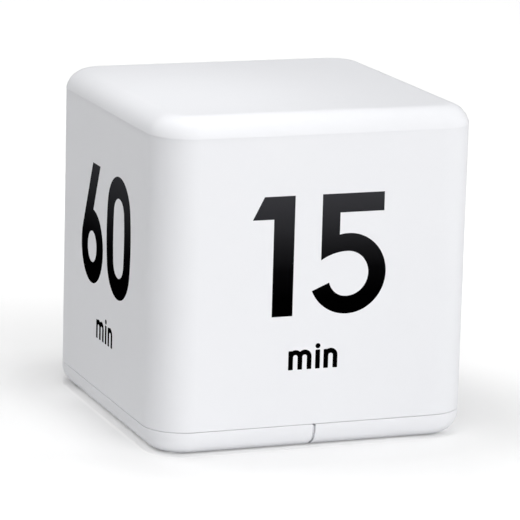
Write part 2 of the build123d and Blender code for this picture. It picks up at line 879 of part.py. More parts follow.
def unit_word():
    """The unit, min, in small rounded letters, drawn from its left side."""
    arch_h = unit_h + 0.15

    def arch(x, w):
        """Arch that joins two stems, w wide over all."""
        r = w / 2
        shape = Pos(x + r, arch_h - r) * (Circle(r) - Circle(r - unit_stem))
        shape &= Pos(x + r, arch_h - r / 2) * Rectangle(w, r)
        return shape

    def stem(x, h, w=unit_stem):
        """Upright with softened corners."""
        return Pos(x + w / 2, h / 2) * RectangleRounded(w, h, 0.14)

    narrow = 2.8
    pitch = narrow - unit_stem
    i_x = 5.38
    n_x = 7.03
    m = stem(0, unit_h) + stem(pitch, arch_h - narrow / 2 + 0.3) + stem(2 * pitch, arch_h - narrow / 2 + 0.2)
    m += arch(0, narrow) + arch(pitch, narrow)
    n = stem(n_x, unit_h) + stem(n_x + pitch, arch_h - narrow / 2 + 0.2) + arch(n_x, narrow)
    i = stem(i_x, unit_h)
    dot = Pos(i_x + unit_stem / 2, unit_h + 0.72) * Circle(0.5)
    return [m, i, dot, n]


def printed_face(turn, figures, unit_x, unit_y):
    """Ink films of one side face, flush with it. figures holds each glyph with its left edge."""
    sketches = [Pos(x, base_line) * glyph for x, glyph in figures]
    sketches += [Pos(unit_x, unit_y) * letter for letter in unit_word()]
    sheet = Plane(origin=(0, film - body_half, 0), x_dir=(1, 0, 0), z_dir=(0, -1, 0))
    films = []
    for sketch in sketches:
        for face in sketch.faces():
            films.append(Rot(0, 0, turn) * (sheet * extrude(face, film, dir=(0, 0, 1))))
    return Compound(children=films)


def all_figures():
    """The four printed faces, named by their side. Opposite faces hold 15 and 30, and 20 and 60."""
    return {
        "front": printed_face(0, [(-13.65, figure_1()), (0.05, figure_5())], -5.9, unit_line),
        "right": printed_face(90, [(-14.4, figure_2()), (1.3, figure_0())], -4.2, unit_line_side),
        "back": printed_face(180, [(-14.2, figure_3()), (1.3, figure_0())], -4.6, unit_line),
        "left": printed_face(270, [(-13.95, figure_6()), (1.3, figure_0())], -4.1, unit_line_side),
    }


def tilt_nodes():
    """The four tilt switches, named by the side that each one watches."""
    found = {}
    for name, turn in (("right", 0), ("back", 90), ("left", 180), ("front", 270)):
        found["tilt_can_" + name] = tilt_can(turn)
        found["tilt_plug_" + name] = tilt_plug(turn)
        found["tilt_ball_" + name] = tilt_ball(turn)
    return found


ink = all_figures()
nodes = {
    "top_cover": top_cover(),
    "side_shell": side_shell(ink),
    "display_cover": display_cover(),
    "battery_door": battery_door(),
    "base_frame": base_frame(),
    "cell_inner": cell(cell_x[0], 1),
    "cell_outer": cell(cell_x[1], -1),
    "negative_plate": negative_plate(),
    "positive_plate": positive_plate(),
    "link_plate": link_plate(),
    "spring_front": spring(cell_x[0], -1),
    "spring_back": spring(cell_x[1], 1),
    "lead_black": lead(cell_x[0], -17.0, -5.0),
    "lead_red": lead(cell_x[1], -13.5, -2.0),
    "display_lens": display_lens(),
    "lcd_polariser": lcd_layer(view_w + 0.5, view_len + 0.5, lcd_z - film_t, film_t),
    "lcd_front_glass": lcd_layer(glass_w, glass_len, lcd_z, glass_t),
    "lcd_rear_glass": lcd_layer(rear_glass_w, glass_len, lcd_z + glass_t, glass_t),
    "lcd_reflector": lcd_layer(rear_glass_w - 0.4, glass_len - 0.4, lcd_z + 2 * glass_t, film_t),
    "zebra_strips": zebra_strips(),
    "lcd_frame": lcd_frame(),
    "main_board": main_board(),
    "controller_blob": controller_blob(),
    "crystal": crystal(),
    "chip_parts": chip_parts(),
    "board_screws": board_screws(),
    "case_screws": case_screws(),
    "bay_screws": bay_screws(),
    "buzzer_case": buzzer_case(),
    "buzzer_diaphragm": buzzer_diaphragm(),
    "switch_can": switch_can(),
    "switch_base": switch_base(),
    "switch_actuator": switch_actuator(),
    "switch_knob": switch_knob(),
}
nodes.update({"figures_" + side: figures for side, figures in ink.items()})
nodes.update(tilt_nodes())

os.makedirs("parts", exist_ok=True)
for name, shape in nodes.items():
    export_step(shape, f"parts/{name}.step")
print(len(nodes), "nodes written")
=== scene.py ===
# %% [markdown]
# # A cube timer
# A white plastic cube with a number of minutes on each of its four sides. Turned so that a number
# points up, it counts those minutes down. The mechanical model comes first and is loaded as a fixed
# frame, because every piece that is dressed here has to sit exactly on what carries it. All sizes
# below are metres, and most of them are read from that frame.

# %% Load the frame
import math

import bmesh
import bpy
from mathutils import Matrix, Vector


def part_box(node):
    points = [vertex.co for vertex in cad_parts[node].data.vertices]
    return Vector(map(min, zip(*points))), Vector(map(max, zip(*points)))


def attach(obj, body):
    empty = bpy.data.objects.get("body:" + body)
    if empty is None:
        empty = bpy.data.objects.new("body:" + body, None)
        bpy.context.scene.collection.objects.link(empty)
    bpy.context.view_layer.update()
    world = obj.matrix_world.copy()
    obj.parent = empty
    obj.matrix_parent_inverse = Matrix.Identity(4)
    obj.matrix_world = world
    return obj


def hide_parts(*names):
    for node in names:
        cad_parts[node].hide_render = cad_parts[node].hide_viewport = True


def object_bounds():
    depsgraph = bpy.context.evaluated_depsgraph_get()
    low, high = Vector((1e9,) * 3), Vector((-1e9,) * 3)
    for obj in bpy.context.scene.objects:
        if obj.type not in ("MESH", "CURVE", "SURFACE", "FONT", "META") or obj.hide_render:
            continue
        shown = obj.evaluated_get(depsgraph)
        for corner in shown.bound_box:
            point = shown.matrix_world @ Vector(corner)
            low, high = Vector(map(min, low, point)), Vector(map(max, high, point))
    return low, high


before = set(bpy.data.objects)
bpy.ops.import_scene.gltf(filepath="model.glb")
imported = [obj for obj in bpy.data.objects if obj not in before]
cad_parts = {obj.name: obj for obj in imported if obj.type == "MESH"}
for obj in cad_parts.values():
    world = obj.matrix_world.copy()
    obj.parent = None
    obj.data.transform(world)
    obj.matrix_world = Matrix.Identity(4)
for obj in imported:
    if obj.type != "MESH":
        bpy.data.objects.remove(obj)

scene = bpy.context.scene
mm = 0.001

cad_low, cad_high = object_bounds()
walls_low, walls_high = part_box("side_shell")
cube = cad_high.z - cad_low.z
body_half = walls_high.x
cap_half = cad_high.x
print("cube", round(cube / mm, 2), "mm")
print("walls from", round(walls_low.z / mm, 2), "to", round(walls_high.z / mm, 2), "mm")

# %% [markdown]
# ## Camera
# A long lens, low and to the left of the front face, so that two sides and a sliver of the top
# show. A camera can be aimed by a target object, or turned by given angles. Here it is turned by
# its bearing, its drop and its small roll, because those are the three numbers a photographer
# reads off a tripod head.

# %% Camera
picture_width = 520
focal_pixels = 3385.06
sensor_width = 36.0
bearing = 21.0065
drop = 12.6914
roll = 1.5400
camera_place = Vector((-229.29, -597.44, 173.22)) * mm
sight = (0.01, 20.0)


def add_object(name, data):
    """New object in the scene, untouched at the origin."""
    obj = bpy.data.objects.new(name, data)
    scene.collection.objects.link(obj)
    return obj


def place_camera():
    """Camera at the photograph's viewing angle."""
    camera = add_object("camera", bpy.data.cameras.new("camera"))
    camera.data.sensor_width = sensor_width
    camera.data.lens = focal_pixels / picture_width * sensor_width
    camera.data.clip_start, camera.data.clip_end = sight
    turn = Matrix.Rotation(math.radians(-bearing), 4, "Z")
    tilt = Matrix.Rotation(math.radians(90 - drop), 4, "X")
    lean = Matrix.Rotation(math.radians(roll), 4, "Z")
    camera.matrix_world = Matrix.Translation(camera_place) @ turn @ tilt @ lean
    scene.camera = camera
    return camera


camera = place_camera()
print("lens", round(camera.data.lens, 1), "mm, distance", round(camera.location.length, 3), "m")

# %% [markdown]
# ## Wires and nodes
# Materials and shapes are both made with nodes. Written out call by call, a node tree is long and
# hard to read, so two small classes do the wiring. A Wire is one output socket, and sums of wires
# and numbers add Math nodes by themselves. A Graph adds any other node from its type, its settings
# and the values or wires of its sockets.

# %% Wires and nodes


class Wire:
    """One output socket. Sums of wires and numbers add Math nodes to its tree."""

    def __init__(self, graph, socket):
        self.graph = graph
        self.socket = socket

    def math(self, operation, *values):
        """Math node on the same tree, with the given operation and values."""
        return self.graph.add("ShaderNodeMath", {"operation": operation}, dict(enumerate(values)))

    def __add__(self, other):
        return self.math("ADD", self, other)

    def __sub__(self, other):
        return self.math("SUBTRACT", self, other)

    def __mul__(self, other):
        return self.math("MULTIPLY", self, other)

    def __rsub__(self, other):
        return self.math("SUBTRACT", other, self)

    def __truediv__(self, other):
        return self.math("DIVIDE", self, other)

    __radd__ = __add__
    __rmul__ = __mul__


class Graph:
    """A node tree that is being built."""

    def __init__(self, tree):
        self.tree = tree

    def plug(self, socket, value):
        """Links a wire to a socket, or sets the socket's own value."""
        if isinstance(value, Wire):
            self.tree.links.new(value.socket, socket)
        else:
            socket.default_value = value

    def add(self, kind, settings=None, inputs=None, out=0):
        """Adds one node and returns its output as a wire."""
        node = self.tree.nodes.new(kind)
        for name, value in (settings or {}).items():
            if name == "stops":
                self.fill_ramp(node.color_ramp, value)
            elif name == "steps":
                node.color_ramp.interpolation = "CONSTANT"
            else:
                setattr(node, name, value)
        for key, value in (inputs or {}).items():
            self.plug(node.inputs[key], value)
        return Wire(self, node.outputs[out])

    def fill_ramp(self, ramp, stops):
        """Gives a colour ramp its stops, each a position and a colour."""
        while len(ramp.elements) < len(stops):
            ramp.elements.new(1.0)
        for element, (position, colour) in zip(ramp.elements, stops):
            element.position = position
            element.color = colour


def grey(value, alpha=1.0):
    """Neutral colour for a socket."""
    return (value, value, value, alpha)


# %% [markdown]
# ## Finishes
# Each real surface gets a Principled material with the small irregularities of how it was made:
# the fine spark-eroded texture of a mould, the cloudiness of moulded plastic, brushed or plated
# metal. The patterns read Object coordinates, which are metres here because every piece sits
# untouched at the origin, so a scale of 1 / size gives a pattern of that size.

# %% Finish class


class Finish(Graph):
    """A Principled material that is being built. Fixed values go on its own sockets."""

    def __init__(self, name, **fixed):
        self.material = bpy.data.materials.new(name)
        self.material.use_nodes = True
        super().__init__(self.material.node_tree)
        self.surface = self.tree.nodes["Principled BSDF"]
        self.place = self.add("ShaderNodeTexCoord", out="Object")
        for name, value in fixed.items():
            self.surface.inputs[name.replace("_", " ")].default_value = value

    def noise(self, size, detail=2.0, place=None):
        """Cloudy noise from 0 to 1, with features of the given size."""
        inputs = {"Vector": place or self.place, "Scale": 1 / size, "Detail": detail}
        return self.add("ShaderNodeTexNoise", {}, inputs)

    def ramp(self, factor, stops, **settings):
        """Colour that follows a value, by stops that each hold a position and a colour."""
        return self.add("ShaderNodeValToRGB", {"stops": stops, **settings}, {"Fac": factor})

    def blend(self, factor, first, second):
        """Colour between two colours."""
        return self.add("ShaderNodeMix", {"data_type": "RGBA"}, {0: factor, 6: first, 7: second}, 2)

    def combine(self, kind, first, second):
        """Sum or product of two colours, as kind is ADD or MULTIPLY."""
        settings = {"data_type": "RGBA", "blend_type": kind}
        return self.add("ShaderNodeMix", settings, {0: 1.0, 6: first, 7: second}, 2)

    def part(self, axis):
        """One coordinate of the piece, in metres."""
        return self.add("ShaderNodeSeparateXYZ", {}, {0: self.place}, axis)

    def bump(self, height, depth, strength=1.0):
        """Relief of the given depth in metres."""
        inputs = {"Height": height, "Distance": depth, "Strength": strength}
        self.feed("Normal", self.add("ShaderNodeBump", {}, inputs))

    def feed(self, name, value):
        """Gives a socket of the surface a value that changes over it."""
        self.plug(self.surface.inputs[name], value)


# %% [markdown]
# ### White ABS
# The casing is white ABS from a mould with a very fine satin texture. It looks even from a step
# away. Close to, the texture breaks up the gloss, and the white is a little cloudy where the melt
# flowed. A cool white is right: the plastic holds a trace of blue toner against yellowing.

# %% White ABS


def white_abs(name, tone, cloud, roughness):
    """Satin white plastic. tone and cloud are its two nearly equal whites."""
    finish = Finish(name, IOR=1.5, Specular_IOR_Level=0.28)
    drift = finish.noise(9 * mm, 3.0)
    texture = finish.noise(0.16 * mm, 3.0)
    finish.feed("Base Color", finish.blend(drift, tone, cloud))
    finish.feed("Roughness", roughness + 0.10 * texture - 0.04 * drift)
    finish.bump(texture, 0.0016 * mm)
    return finish.material


casing = white_abs("casing_plastic", (0.835, 0.842, 0.868, 1), (0.850, 0.856, 0.880, 1), 0.46)
print("casing finish", len(casing.node_tree.nodes), "nodes")

# %% [markdown]
# ### Figure ink
# The numbers are printed in black. The ink lies a few hundredths of a millimetre thick in a
# shallow recess. Its colour carries a painted sheen: blackest low on each face, it lifts to a dark
# grey towards its top edge, and a ramp over the height of the figure paints that change in place of
# the gloss of the ink. Its specular level is zero, because the Fresnel term would add a sheen at
# grazing angles.

# %% Figure ink
figure_low = 25.8 * mm
figure_high = 48.6 * mm
ink_painted_sheen = ((0.15, 0.0002), (0.37, 0.0022), (0.54, 0.009), (0.63, 0.0143), (0.72, 0.0212), (0.98, 0.037))
blue_cast = 1.12


def figure_ink():
    """Black ink, with a painted sheen that lightens it towards the top of the figures."""
    finish = Finish("figure_ink", Specular_IOR_Level=0.0)
    height = (finish.part("Z") - figure_low) / (figure_high - figure_low)
    speckle = finish.noise(0.5 * mm)
    # painted sheen: the ink's colour lightens towards the top of each figure, in place of its gloss
    stops = [(place, (shade, shade, shade * blue_cast, 1)) for place, shade in ink_painted_sheen]
    finish.feed("Base Color", finish.ramp(height, stops))
    finish.feed("Roughness", 0.42 + 0.10 * speckle)
    finish.bump(speckle, 0.002 * mm)
    return finish.material


ink = figure_ink()
print("ink finish", len(ink.node_tree.nodes), "nodes")

# %% [markdown]
# ## Recipes for shapes
# A Geometry Nodes tree is a recipe with named inputs. It is run on an empty object, the result is
# kept as a plain mesh, and the modifier is taken off again, so nothing depends on the tree later.

# %% Recipe class


class Recipe(Graph):
    """A Geometry Nodes tree that is being built, with named inputs."""

    def __init__(self, name):
        super().__init__(bpy.data.node_groups.new(name, "GeometryNodeTree"))
        self.tree.interface.new_socket("Geometry", in_out="OUTPUT", socket_type="NodeSocketGeometry")
        self.given = self.tree.nodes.new("NodeGroupInput")
        self.identifiers = {}

    def ask(self, label, kind):
        """Adds an input and returns it as a wire."""
        socket = self.tree.interface.new_socket(label, in_out="INPUT", socket_type="NodeSocket" + kind)
        self.identifiers[label] = socket.identifier
        return Wire(self, self.given.outputs[label])

    def ask_shape(self, label):
        """Adds an input for an object, and returns that object's mesh or curve."""
        chosen = self.ask(label, "Object")
        return self.add("GeometryNodeObjectInfo", {}, {"Object": chosen}, "Geometry")

    def scatter(self, places, shape, turn=0.0):
        """Puts a shape on every point of a mesh, each turned about Z."""
        points = self.add("GeometryNodeMeshToPoints", {}, {"Mesh": places})
        spin = self.add("ShaderNodeCombineXYZ", {}, {2: turn})
        inputs = {"Points": points, "Instance": shape, "Rotation": spin}
        return self.add("GeometryNodeInstanceOnPoints", {}, inputs)

    def join(self, *parts):
        """Puts several geometries together."""
        joined = self.tree.nodes.new("GeometryNodeJoinGeometry")
        for part in reversed(parts):
            self.plug(joined.inputs[0], part)
        return Wire(self, joined.outputs[0])

    def give(self, geometry, material):
        """Ends the recipe."""
        real = self.add("GeometryNodeRealizeInstances", {}, {0: geometry})
        dressed = self.add("GeometryNodeSetMaterial", {}, {"Geometry": real, "Material": material})
        self.plug(self.tree.nodes.new("NodeGroupOutput").inputs[0], dressed)
        return self


# %% Turning results into plain meshes
weld_reach = 0.0005 * mm


def settle(obj):
    """Replaces an object's mesh by what its modifiers make of it, and drops them."""
    depsgraph = bpy.context.evaluated_depsgraph_get()
    mesh = bpy.data.meshes.new_from_object(obj.evaluated_get(depsgraph), depsgraph=depsgraph)
    obj.modifiers.clear()
    obj.data = mesh
    return obj


def cook(name, recipe, **inputs):
    """Runs a recipe and returns the result as a plain mesh object."""
    obj = add_object(name, bpy.data.meshes.new(name))
    modifier = obj.modifiers.new(recipe.tree.name, "NODES")
    modifier.node_group = recipe.tree
    for label, value in inputs.items():
        modifier[recipe.identifiers[label.replace("_", " ")]] = value
    return settle(obj)


def weld(shell):
    """Joins the points that lie on one another."""
    bmesh.ops.remove_doubles(shell, verts=shell.verts, dist=weld_reach)


def keep(name, shell):
    """New object that holds an edited mesh."""
    mesh = bpy.data.meshes.new(name)
    shell.to_mesh(mesh)
    shell.free()
    return add_object(name, mesh)


def smooth(obj, crease=30, merge_flats=False):
    """Closes open ends, then shades gentle bends soft, sharp ones crisp and flat faces flat."""
    shell = bmesh.new()
    shell.from_mesh(obj.data)
    weld(shell)
    if merge_flats:
        nearly_flat = math.radians(0.2)
        bmesh.ops.dissolve_limit(shell, angle_limit=nearly_flat, verts=shell.verts, edges=shell.edges)
    open_edges = [edge for edge in shell.edges if edge.is_boundary]
    bmesh.ops.holes_fill(shell, edges=open_edges, sides=0)
    bmesh.ops.recalc_face_normals(shell, faces=shell.faces)
    shell.to_mesh(obj.data)
    shell.free()
    obj.data.shade_smooth()
    obj.data.set_sharp_from_angle(angle=math.radians(crease))
    weighted = obj.modifiers.new("weighted", "WEIGHTED_NORMAL")
    weighted.keep_sharp = True
    settle(obj)
    print(obj.name, len(obj.data.polygons), "faces,", len(open_edges), "open edges closed")
    return obj


def drop_helpers(*helpers):
    """Removes helper objects once their shape has been used."""
    for helper in helpers:
        bpy.data.objects.remove(helper)


# %% [markdown]
# ## Walls and cap
# Both outer mouldings follow one rule: a wall section carried round a rounded square. So the
# section is drawn once as a curve, and one recipe sweeps it. The alternative, a bevelled box with
# its inside cut away, gives uneven strips at the corners, and those show in the gloss.

# %% The sweep
corner_steps = 20
body_corner = 7.8 * mm


def section_curve(name, points, closed):
    """Wall section. Each point is how far inwards from the outer face, and the height."""
    curve = bpy.data.curves.new(name, "CURVE")
    curve.dimensions = "3D"
    spline = curve.splines.new("POLY")
    spline.points.add(len(points) - 1)
    for point, (inwards, height) in zip(spline.points, points):
        point.co = (-inwards, -height, 0, 1)
    spline.use_cyclic_u = closed
    return add_object(name, curve)


def arc(centre, radius, start, end, steps):
    """Points of an arc, angles in degrees."""
    turns = [math.radians(start + (end - start) * k / steps) for k in range(steps + 1)]
    return [(centre[0] + radius * math.cos(a), centre[1] + radius * math.sin(a)) for a in turns]


def swept(recipe):
    """Asks for a section and a path, and carries the section round the path."""
    half = recipe.ask("Half width", "Float")
    radius = recipe.ask("Corner radius", "Float")
    steps = recipe.ask("Corner steps", "Int")
    section = recipe.ask_shape("Section")
    size = half * 2
    rectangle = {"Width": size, "Height": size}
    square = recipe.add("GeometryNodeCurvePrimitiveQuadrilateral", {"mode": "RECTANGLE"}, rectangle)
    corners = {"Curve": square, "Count": steps, "Radius": radius}
    path = recipe.add("GeometryNodeFilletCurve", {"mode": "POLY"}, corners)
    level = recipe.add("GeometryNodeSetCurveNormal", {"mode": "Z_UP"}, {"Curve": path})
    return recipe.add("GeometryNodeCurveToMesh", {}, {"Curve": level, "Profile Curve": section})


# %% [markdown]
# ### Side walls
# Four walls in one moulding, 2.2 mm thick, with a ledge inside that the chassis bears on. Each
# printed figure sits in a recess of its own shape. The recess is cut by the figures of the frame,
# made taller outwards, because a cutter that ends exactly in the surface leaves slivers. The lower
# edge comes down close to the base, because the real seam shows as no more than a fine grey line.

# %% Side walls
wall = 2.2 * mm
fine_edge = 0.12 * mm
top_edge = 0.05 * mm
seam = 0.07 * mm
ledge_reach = 1.2 * mm
ledge_z = (7.0 * mm, 8.2 * mm)
base_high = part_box("battery_door")[1].z
cap_line = walls_high.z
figure_nodes = ("figures_front", "figures_right", "figures_back", "figures_left")
skin = 0.01 * mm
cutter_reach = 0.2 * mm


def welded(name, *nodes):
    """One mesh object from copies of CAD nodes, with their loose triangles joined."""
    whole = bmesh.new()
    for node in nodes:
        whole.from_mesh(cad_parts[node].data)
    weld(whole)
    return keep(name, whole)


def figure_cutter():
    """The figures, made taller outwards so that they cut clean through the surface."""
    cutter = welded("figure_cutter", *figure_nodes)
    for vertex in cutter.data.vertices:
        for axis in (0, 1):
            if abs(vertex.co[axis]) > body_half - skin:
                vertex.co[axis] = math.copysign(body_half + cutter_reach, vertex.co[axis])
    return cutter


def wall_section():
    """Section of the wall, round its two fine outer edges and the ledge inside."""
    low = base_high + seam
    points = arc((fine_edge, low + fine_edge), fine_edge, 270, 180, 4)
    points += arc((top_edge, cap_line - top_edge), top_edge, 180, 90, 2)
    points += [(wall, cap_line), (wall, ledge_z[1]), (wall + ledge_reach, ledge_z[1])]
    points += [(wall + ledge_reach, ledge_z[0]), (wall, ledge_z[0]), (wall, low)]
    return section_curve("wall_section", points, True)


def walls_recipe():
    """Sweep, less the shape of the cutter."""
    recipe = Recipe("walls_round_the_cube")
    body = swept(recipe)
    cutter = recipe.ask_shape("Cutter")
    material = recipe.ask("Material", "Material")
    settings = {"operation": "DIFFERENCE", "solver": "EXACT"}
    return recipe.give(recipe.add("GeometryNodeMeshBoolean", settings, {0: body, 1: cutter}), material)


wall_shape = wall_section()
cutter = figure_cutter()
walls = cook("side_walls", walls_recipe(), Half_width=body_half, Corner_radius=body_corner,
             Corner_steps=corner_steps, Section=wall_shape, Cutter=cutter, Material=casing)
smooth(walls)
drop_helpers(wall_shape, cutter)

# %% [markdown]
# ### Cap
# The top cover closes the box. Its rounding doesn't start quite upright at the joint line, and
# that small kink is what makes the line show although there is no gap. Inside it has a rib that
# drops between the walls and four long posts that the screws bite into. The posts are one turned
# tube, set on four points.

# %% Cap
rounding = 4.6 * mm
rounding_steps = 14
rib_drop = 2.0 * mm
rib_thick = 1.2 * mm
rib_clear = 0.1 * mm
ceiling = cube - wall
ceiling_end = 6 * mm
post_outer = 3.0 * mm
post_bore = 1.15 * mm
post_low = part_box("top_cover")[0].z
post_root = ceiling + 0.3 * mm
bore_high = 27.0 * mm
post_places = [(x * mm, side * y * mm, 0) for x, y in ((-24.4, 24.4), (14.4, 20.0)) for side in (1, -1)]


def cap_section():
    """Section of the cap, from the ceiling inside to the top face outside."""
    lip = cap_half - body_half
    overhang = cap_line - (cube - rounding)
    reach = math.sqrt(rounding ** 2 - overhang ** 2)
    start = 180 - math.degrees(math.asin(overhang / rounding))
    outside = arc((reach, cube - rounding), rounding, start, 90, rounding_steps)
    rib_out = lip + wall + rib_clear
    rib_in = rib_out + rib_thick
    rib_low = cap_line - rib_drop
    points = [(ceiling_end, ceiling), (rib_in, ceiling), (rib_in, rib_low)]
    points += [(rib_out, rib_low), (rib_out, cap_line)]
    return section_curve("cap_section", points + outside, False)


def points_object(name, places, **numbers):
    """Helper mesh of loose points, with named numbers on them."""
    mesh = bpy.data.meshes.new(name)
    mesh.from_pydata(places, [], [])
    for label, values in numbers.items():
        mesh.attributes.new(label, "FLOAT", "POINT").data.foreach_set("value", values)
    return add_object(name, mesh)


def turned(name, profile, steps):
    """Round helper piece from radii and heights, spun about the Z axis."""
    rings = bmesh.new()
    edge = [rings.verts.new((radius, 0, height)) for radius, height in profile]
    loop = [rings.edges.new(pair) for pair in zip(edge, edge[1:])]
    bmesh.ops.spin(rings, geom=edge + loop, axis=(0, 0, 1), cent=(0, 0, 0), angle=math.tau, steps=steps)
    weld(rings)
    bmesh.ops.recalc_face_normals(rings, faces=rings.faces)
    return keep(name, rings)


def cap_recipe():
    """Sweep, with a post on each point."""
    recipe = Recipe("cap_with_posts")
    body = swept(recipe)
    post = recipe.ask_shape("Post")
    places = recipe.ask_shape("Places")
    material = recipe.ask("Material", "Material")
    return recipe.give(recipe.join(body, recipe.scatter(places, post)), material)


post_profile = [(0, bore_high), (post_bore, bore_high), (post_bore, post_low), (post_outer, post_low),
                (post_outer, post_root), (0, post_root)]
post_shape = turned("post", post_profile, 32)
post_points = points_object("post_places", post_places)
cap_shape = cap_section()
cap_corner = body_corner + cap_half - body_half
cap = cook("cap", cap_recipe(), Half_width=cap_half, Corner_radius=cap_corner, Corner_steps=corner_steps,
           Section=cap_shape, Post=post_shape, Places=post_points, Material=casing)
smooth(cap)
drop_helpers(post_shape, post_points, cap_shape)

# %% [markdown]
# ### Base
# The base is parted across the middle: a fixed half with the display, and a door that slides off
# the battery bay. Their shapes come from the frame. The two edges at the split are brought a
# little closer together than the frame has them, as the joint shows on the real cube. Moving the
# few points on each edge does that, and leaves the rest of both shapes as the frame has them.

# %% Base halves
split_gap = 0.3 * mm
cover_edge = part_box("display_cover")[1].x
door_edge = cover_edge + split_gap
cover_shift = 0.30 * mm
door_shift = 0.05 * mm
edge_reach = 0.005 * mm


def base_half(name, node, edge, shift):
    """Copy of half the base, with its edge at the split moved."""
    half = welded(name, node)
    for vertex in half.data.vertices:
        if abs(vertex.co.x - edge) < edge_reach:
            vertex.co.x += shift
    half.data.materials.append(casing)
    return half


cover = base_half("display_half", "display_cover", cover_edge, cover_shift)
door = base_half("door_half", "battery_door", door_edge, door_shift)
smooth(door, merge_flats=True)

# %% [markdown]
# ### Switch words
# The words beside the switch are cut into the fixed half and filled with ink, so nothing stands
# proud of the face that the cube rests on. Text could be laid on as a picture, but real letters
# catch the light in their edges. The same letters are made twice: taller to cut, flush to fill.

# %% Switch words
switch_x = -11.9 * mm
switch_step = 2.0 * mm
word_edge = 17.9 * mm
word_size = 1.2 * mm
word_deep = 0.12 * mm
word_sunk = 0.01 * mm


def word_mesh(text, x, y, low, high):
    """A word as a solid, to be read from below with its top towards -X."""
    curve = bpy.data.curves.new(text, "FONT")
    curve.body = text
    curve.size = word_size
    curve.extrude = (high - low) / 2
    curve.align_y = "CENTER"
    helper = add_object(text, curve)
    depsgraph = bpy.context.evaluated_depsgraph_get()
    mesh = bpy.data.meshes.new_from_object(helper.evaluated_get(depsgraph))
    drop_helpers(helper)
    read_from_below = Matrix(((0, -1, 0), (-1, 0, 0), (0, 0, -1))).to_4x4()
    mesh.transform(Matrix.Translation((x, y, (low + high) / 2)) @ read_from_below)
    return mesh


def words(name, low, high):
    """The three words of the switch in one object."""
    whole = bmesh.new()
    for text, step in (("OFF", -1), ("LO", 0), ("HI", 1)):
        whole.from_mesh(word_mesh(text, switch_x + step * switch_step, word_edge, low, high))
    weld(whole)
    bmesh.ops.recalc_face_normals(whole, faces=whole.faces)
    return keep(name, whole)


word_cutter = words("word_cutter", -word_deep, word_deep)
cut = cover.modifiers.new("words", "BOOLEAN")
cut.operation = "DIFFERENCE"
cut.solver = "EXACT"
cut.object = word_cutter
settle(cover)
smooth(cover, merge_flats=True)
drop_helpers(word_cutter)
switch_words = words("switch_words", word_sunk, word_deep)
switch_words.data.materials.append(ink)
print("words", [round(v / mm, 2) for v in switch_words.dimensions], "mm")

# %% [markdown]
# ## Display
# A liquid crystal display shows seven bars per digit, dark against a grey-green film. The bars are
# one hexagon, set on points by a recipe that turns it upright or across by a number kept on each
# point. They could be a picture on the film, but as shapes they stay sharp at any size. Behind the
# dark bars the unused ones can just be made out, which is how a cheap display looks at an angle.

# %% Display bars
film_low, film_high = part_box("lcd_polariser")
digit_high = 8.4 * mm
digit_wide = 4.4 * mm
digit_pitch = 5.6 * mm
bar_long = 3.5 * mm
bar_thick = 0.75 * mm
bar_flat = 0.02 * mm
pair_gap = 0.6 * mm
half_wide = (digit_wide - bar_thick) / 2
half_high = (digit_high - bar_thick) / 2
bars_of = {"0": "abcdef", "1": "bc", "5": "acdfg", "8": "abcdefg"}
bar_places = {"a": (0, half_high, 0), "g": (0, 0, 0), "d": (0, -half_high, 0)}
for letter, side, rise in (("b", 1, 1), ("c", 1, -1), ("e", -1, -1), ("f", -1, 1)):
    bar_places[letter] = (side * half_wide, rise * half_high / 2, 1)


def bar_shape():
    """One bar of a digit: a long flat hexagon with its face down."""
    half = bar_long / 2
    side = bar_thick / 2
    straight = half - side
    rim = [(half, 0), (straight, side), (-straight, side)]
    rim += [(-x, -y) for x, y in rim]
    vertices = [(x, y, z) for z in (0, bar_flat) for x, y in rim]
    faces = [(5, 4, 3, 2, 1, 0), (6, 7, 8, 9, 10, 11)]
    faces += [(k, (k + 1) % 6, (k + 1) % 6 + 6, k + 6) for k in range(6)]
    mesh = bpy.data.meshes.new("bar")
    mesh.from_pydata(vertices, [], faces)
    return add_object("bar", mesh)


def digit_points(text, height):
    """Points for the bars of four digits, read from below with their tops towards -X."""
    middle_x = (film_low.x + film_high.x) / 2
    middle_y = (film_low.y + film_high.y) / 2
    places, turns = [], []
    for column, digit in enumerate(text):
        across = (column - 1.5) * digit_pitch + math.copysign(pair_gap, column - 1.5)
        for letter in bars_of[digit]:
            x, y, upright = bar_places[letter]
            places.append((middle_x - y, middle_y - across - x, height))
            turns.append(math.pi / 2 * (1 - upright))
    return points_object("bar_places", places, turn=turns)


def display_recipe():
    """Bars on points, turned by the number kept on each point."""
    recipe = Recipe("display_bars")
    places = recipe.ask_shape("Places")
    bar = recipe.ask_shape("Bar")
    material = recipe.ask("Material", "Material")
    turn = recipe.add("GeometryNodeInputNamedAttribute", {"data_type": "FLOAT"}, {"Name": "turn"})
    return recipe.give(recipe.scatter(places, bar, turn), material)


def crystal_ink(name, shade):
    """Liquid crystal of a bar, in a shade that isn't quite even along it."""
    finish = Finish(name, Roughness=0.35)
    uneven = finish.noise(1.5 * mm)
    finish.feed("Base Color", finish.blend(uneven, shade, [v * 1.35 for v in shade[:3]] + [1]))
    return finish.material


def shown_bars(name, text, below, crystal):
    """The bars of a text, a little below the film."""
    bar = bar_shape()
    points = digit_points(text, film_low.z - below)
    bars = cook(name, display_recipe(), Places=points, Bar=bar, Material=crystal)
    drop_helpers(bar, points)
    return bars


crystal_on = crystal_ink("crystal_on", (0.02, 0.024, 0.03, 1))
crystal_off = crystal_ink("crystal_off", (0.33, 0.36, 0.29, 1))
lit = shown_bars("display_digits", "1500", 0.03 * mm, crystal_on)
pale = shown_bars("display_unlit_bars", "8888", 0.015 * mm, crystal_off)
print("display bars", len(lit.data.polygons) // 8, "dark and", len(pale.data.polygons) // 8, "pale")

# %% [markdown]
# ## Solder joints
# Every pin that comes down to the board ends in a small cone of solder. One turned cone with a
# hollow flank is set on all of them.

